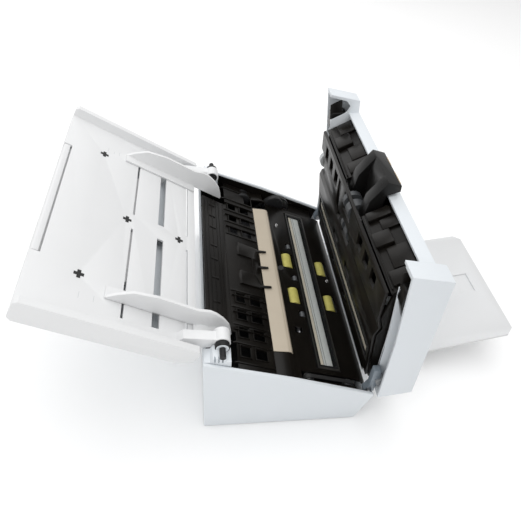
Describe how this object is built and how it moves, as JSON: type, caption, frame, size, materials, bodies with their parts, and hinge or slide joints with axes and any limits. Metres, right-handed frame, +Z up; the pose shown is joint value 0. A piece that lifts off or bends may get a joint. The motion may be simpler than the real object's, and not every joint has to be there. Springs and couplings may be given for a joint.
{
  "type": "document scanner",
  "caption": "Sheet fed document scanner with a sloping input tray, sliding paper guides, a swung-open cover over its rollers, and a slide-out output tray.",
  "frame": {"origin": "on the desk, under the middle of the base", "axes": "+Z up, -Y towards the side where sheets come out, +X to the right of someone facing that side"},
  "size_m": [0.31, 0.5258, 0.2408],
  "materials": {
    "white_shell": "fine matte",
    "tray_white": "fine matte",
    "black_interior": "satin",
    "black_matte": "matte",
    "grey_plastic": "matte",
    "light_grey_plastic": "matte",
    "tan_film": "satin",
    "beige_bar": "satin",
    "reference_white": "matte",
    "roller_rubber": "matte",
    "dark_rubber": "matte",
    "sensor_glass": "clear",
    "shaft_steel": "satin",
    "spring_steel": "bright",
    "motor_steel": "satin",
    "belt_rubber": "matte",
    "clear_film": "clear",
    "board_green": "satin",
    "bronze_module": "satin",
    "button_grey": "satin",
    "button_blue": "satin",
    "lens": "clear",
    "screw_black": "satin",
    "bush_white": "satin"
  },
  "bodies": {
    "base": {"chassis_floor": "black_matte", "rubber_feet": "dark_rubber", "left_side_panel": "white_shell", "right_side_panel": "white_shell", "rear_panel": "white_shell", "front_panel": "white_shell", "lower_guide": "black_interior", "separation_cover": "black_interior", "guide_strip": "tan_film", "sensor_deck": "black_interior", "lower_sensor_housing": "black_matte", "lower_glass": "sensor_glass", "lower_light_bar": "beige_bar", "lower_white_reference": "reference_white", "shaft_bushes": "bush_white", "feed_motor": "motor_steel", "feed_belt": "belt_rubber", "timing_belt": "belt_rubber", "double_feed_sensor": "black_matte", "main_board": "board_green", "tray_blocks": "light_grey_plastic", "tray_hinge_pins": "shaft_steel", "cover_hinge_pins": "shaft_steel"},
    "feed_roller_set": {"feed_shaft": "shaft_steel", "feed_rollers": "roller_rubber"},
    "exit_roller_set": {"exit_shaft": "shaft_steel", "exit_rollers": "roller_rubber"},
    "motor_drive": {"motor_pulley": "grey_plastic"},
    "idlers": {"idler_rollers": "dark_rubber"},
    "cover": {"cover_shell": "white_shell", "upper_guide": "black_interior", "cover_frame": "grey_plastic", "upper_sensor_housing": "black_matte", "upper_glass": "sensor_glass", "upper_light_bar": "beige_bar", "pick_module": "bronze_module", "pick_belt": "belt_rubber", "pinch_springs": "spring_steel", "film_guides": "clear_film", "cover_hinges": "grey_plastic", "indicator_lens": "lens"},
    "pick_roller_set": {"pick_shaft": "shaft_steel", "pick_roller": "dark_rubber"},
    "feed_in_roller_set": {"feed_in_shaft": "shaft_steel", "feed_in_roller": "dark_rubber"},
    "feed_pinch_set": {"feed_pinch_rollers": "black_matte"},
    "exit_pinch_set": {"exit_pinch_rollers": "black_matte"},
    "latch": {"latch_lever": "light_grey_plastic"},
    "drive_wheel": {"cover_drive_wheel": "light_grey_plastic"},
    "start_key": {"start_button": "button_blue"},
    "power_key": {"power_button": "button_grey"},
    "input_tray": {"tray_top": "tray_white", "tray_underside": "white_shell", "tray_screws": "screw_black"},
    "extension": {"tray_extension": "tray_white"},
    "left_guide": {"left_paper_guide": "tray_white"},
    "right_guide": {"right_paper_guide": "tray_white"},
    "rack_pinion": {"guide_pinion": "grey_plastic"},
    "output_slide": {"output_runner": "light_grey_plastic"},
    "output_plate": {"output_tray": "tray_white"}
  },
  "joints": [
    {"name": "cover_hinge", "type": "hinge", "parent": "base", "child": "cover", "pos_m": [0, -0.093, 0.047], "axis": [1, 0, 0], "range_deg": [-60, 0]},
    {"name": "input_tray_hinge", "type": "hinge", "parent": "base", "child": "input_tray", "pos_m": [0, 0.067, 0.1315], "axis": [-1, 0, 0], "range_deg": [-70, 0]},
    {"name": "tray_extension_slide", "type": "slide", "parent": "input_tray", "child": "extension", "axis": [0, 0.8607, 0.509], "range_m": [0, 0.08]},
    {"name": "left_guide_slide", "type": "slide", "parent": "input_tray", "child": "left_guide", "axis": [1, 0, 0], "range_m": [0, 0.078]},
    {"name": "right_guide_slide", "type": "slide", "parent": "input_tray", "child": "right_guide", "axis": [1, 0, 0], "range_m": [-0.078, 0]},
    {"name": "rack_pinion_spin", "type": "hinge", "parent": "input_tray", "child": "rack_pinion", "pos_m": [0, 0.12918, 0.14422], "axis": [0, -0.509, 0.8607], "range_deg": [-1, 497.56]},
    {"name": "output_tray_slide", "type": "slide", "parent": "base", "child": "output_slide", "axis": [0, -1, 0], "range_m": [-0.14, 0]},
    {"name": "output_tray_tilt", "type": "hinge", "parent": "output_slide", "child": "output_plate", "pos_m": [0, -0.091, 0.006], "axis": [-1, 0, 0], "range_deg": [-13.3, 0]},
    {"name": "feed_roller_spin", "type": "hinge", "parent": "base", "child": "feed_roller_set", "pos_m": [0, -0.0255, 0.06216], "axis": [1, 0, 0], "continuous": true},
    {"name": "exit_roller_spin", "type": "hinge", "parent": "base", "child": "exit_roller_set", "pos_m": [0, -0.0725, 0.04423], "axis": [1, 0, 0], "continuous": true},
    {"name": "motor_pulley_spin", "type": "hinge", "parent": "base", "child": "motor_drive", "pos_m": [0, 0.023, 0.032], "axis": [1, 0, 0], "continuous": true},
    {"name": "idler_spin", "type": "hinge", "parent": "base", "child": "idlers", "pos_m": [0, -0.0324, 0.06443], "axis": [1, 0, 0], "continuous": true},
    {"name": "pick_roller_spin", "type": "hinge", "parent": "cover", "child": "pick_roller_set", "pos_m": [0, -0.0817, 0.18366], "axis": [1, 0, 0], "continuous": true},
    {"name": "feed_in_roller_spin", "type": "hinge", "parent": "cover", "child": "feed_in_roller_set", "pos_m": [0, -0.08664, 0.15187], "axis": [1, 0, 0], "continuous": true},
    {"name": "feed_pinch_spin", "type": "hinge", "parent": "cover", "child": "feed_pinch_set", "pos_m": [0, -0.08728, 0.11591], "axis": [1, 0, 0], "continuous": true},
    {"name": "exit_pinch_spin", "type": "hinge", "parent": "cover", "child": "exit_pinch_set", "pos_m": [0, -0.09525, 0.06624], "axis": [1, 0, 0], "continuous": true},
    {"name": "drive_wheel_spin", "type": "hinge", "parent": "cover", "child": "drive_wheel", "pos_m": [0, -0.08407, 0.15847], "axis": [1, 0, 0], "continuous": true},
    {"name": "latch_hinge", "type": "hinge", "parent": "cover", "child": "latch", "pos_m": [0, -0.10977, 0.14675], "axis": [1, 0, 0], "range_deg": [0, 8], "stiffness_Nm_per_rad": 0.05},
    {"name": "start_button_press", "type": "slide", "parent": "cover", "child": "start_key", "axis": [0, -0.866, 0.5], "range_m": [-0.0012, 0], "stiffness_N_per_m": 400, "springref_m": 0.0005},
    {"name": "power_button_press", "type": "slide", "parent": "cover", "child": "power_key", "axis": [0, -0.866, 0.5], "range_m": [-0.0012, 0], "stiffness_N_per_m": 400, "springref_m": 0.0005}
  ],
  "couplings": [
    {"joint": "right_guide_slide", "follows": "left_guide_slide", "ratio": -1},
    {"joint": "rack_pinion_spin", "follows": "left_guide_slide", "rad_per_m": 111.11},
    {"joint": "output_tray_tilt", "follows": "output_tray_slide", "rad_per_m": 1.6581},
    {"joint": "exit_roller_spin", "follows": "feed_roller_spin", "ratio": 1},
    {"joint": "motor_pulley_spin", "follows": "feed_roller_spin", "ratio": 3.1667},
    {"joint": "feed_in_roller_spin", "follows": "pick_roller_spin", "ratio": 1}
  ]
}
